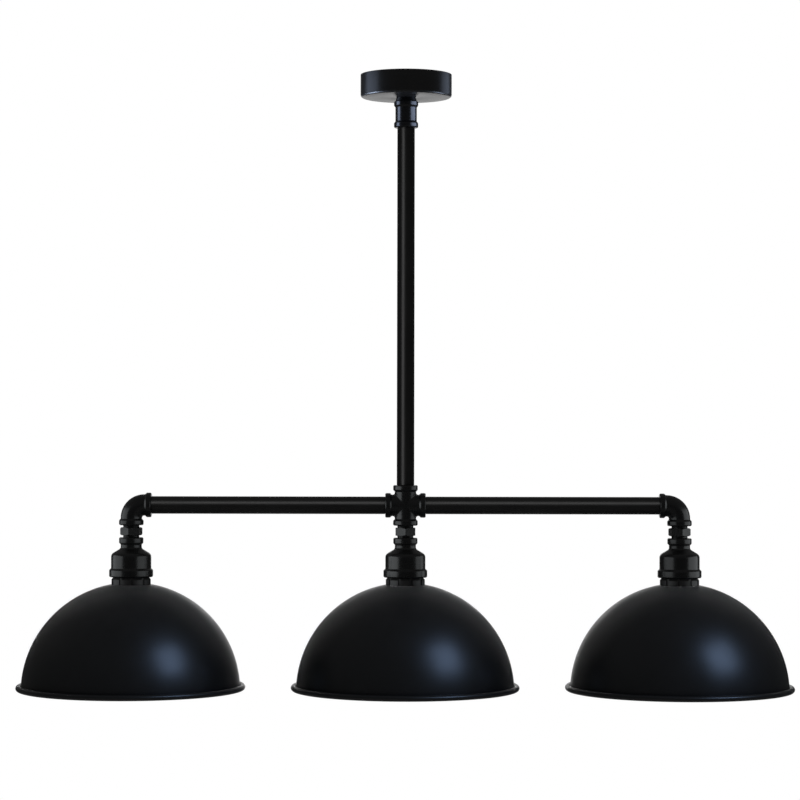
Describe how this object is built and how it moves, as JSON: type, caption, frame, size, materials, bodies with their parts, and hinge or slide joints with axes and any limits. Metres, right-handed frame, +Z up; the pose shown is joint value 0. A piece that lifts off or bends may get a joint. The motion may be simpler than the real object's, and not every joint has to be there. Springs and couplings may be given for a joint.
{
  "type": "pipe ceiling light",
  "caption": "Ceiling light of screwed pipe: canopy, drop pipe, cross, arms with elbows, and domed shades in a row with screw-base lamps.",
  "frame": {"origin": "centre of the ceiling face, midway between the bracket's two screw slots", "axes": "+Z up into the ceiling, X along the arms, +Y away from the front"},
  "size_m": [1.02, 0.3, 0.8093],
  "materials": {
    "black_paint": "satin",
    "black_iron": "satin",
    "zinc_steel": "zinc plated",
    "black_plastic": "moulded",
    "white_plastic": "moulded",
    "white_ceramic": "unglazed",
    "brass": "rolled",
    "lamp_metal": "rolled",
    "opal_glass": "opal",
    "flex_sheath": "extruded"
  },
  "bodies": {
    "ceiling_mount": {"ceiling_bracket": "zinc_steel", "canopy": "black_paint", "canopy_nipple": "zinc_steel", "bracket_locknuts": "zinc_steel", "drop_socket": "black_iron", "distribution_block": "white_plastic", "terminal_screws": "zinc_steel", "block_screws": "zinc_steel", "earth_screw": "brass", "canopy_flexes": "flex_sheath"},
    "pipe_frame": {"drop_pipe": "black_paint", "cross_fitting": "black_iron", "middle_flex": "flex_sheath", "left_arm_pipe": "black_paint", "right_arm_pipe": "black_paint", "left_arm_flex": "flex_sheath", "right_arm_flex": "flex_sheath", "middle_hex_nipple": "black_iron", "middle_holder_stud": "zinc_steel", "middle_reducer": "black_iron", "middle_upper_shade_ring": "black_plastic", "middle_shade": "black_paint", "middle_lower_shade_ring": "black_plastic", "middle_holder_cap": "black_plastic", "middle_holder_skirt": "black_plastic", "middle_holder_insert": "white_ceramic", "middle_screw_shell": "brass", "middle_centre_contact": "brass"},
    "left_head": {"left_hex_nipple": "black_iron", "left_holder_stud": "zinc_steel", "left_reducer": "black_iron", "left_upper_shade_ring": "black_plastic", "left_shade": "black_paint", "left_lower_shade_ring": "black_plastic", "left_holder_cap": "black_plastic", "left_holder_skirt": "black_plastic", "left_holder_insert": "white_ceramic", "left_screw_shell": "brass", "left_centre_contact": "brass", "left_elbow": "black_iron", "left_elbow_flex": "flex_sheath"},
    "left_lamp": {"left_lamp_cap": "lamp_metal", "left_lamp_glass": "opal_glass"},
    "middle_lamp": {"middle_lamp_cap": "lamp_metal", "middle_lamp_glass": "opal_glass"},
    "right_head": {"right_hex_nipple": "black_iron", "right_holder_stud": "zinc_steel", "right_reducer": "black_iron", "right_upper_shade_ring": "black_plastic", "right_shade": "black_paint", "right_lower_shade_ring": "black_plastic", "right_holder_cap": "black_plastic", "right_holder_skirt": "black_plastic", "right_holder_insert": "white_ceramic", "right_screw_shell": "brass", "right_centre_contact": "brass", "right_elbow": "black_iron", "right_elbow_flex": "flex_sheath"},
    "right_lamp": {"right_lamp_cap": "lamp_metal", "right_lamp_glass": "opal_glass"}
  },
  "joints": [
    {"name": "drop_swivel", "type": "hinge", "parent": "ceiling_mount", "child": "pipe_frame", "pos_m": [0, 0, -0.0635], "axis": [0, 0, 1], "range_deg": [-90, 90]},
    {"name": "left_elbow_swivel", "type": "hinge", "parent": "pipe_frame", "child": "left_head", "pos_m": [-0.36, 0, -0.5665], "axis": [1, 0, 0], "range_deg": [-90, 90]},
    {"name": "right_elbow_swivel", "type": "hinge", "parent": "pipe_frame", "child": "right_head", "pos_m": [0.36, 0, -0.5665], "axis": [1, 0, 0], "range_deg": [-90, 90]},
    {"name": "left_lamp_removal", "type": "slide", "parent": "left_head", "child": "left_lamp", "axis": [0, 0, -1], "range_m": [0, 0.03]},
    {"name": "middle_lamp_removal", "type": "slide", "parent": "pipe_frame", "child": "middle_lamp", "axis": [0, 0, -1], "range_m": [0, 0.03]},
    {"name": "right_lamp_removal", "type": "slide", "parent": "right_head", "child": "right_lamp", "axis": [0, 0, -1], "range_m": [0, 0.03]}
  ]
}
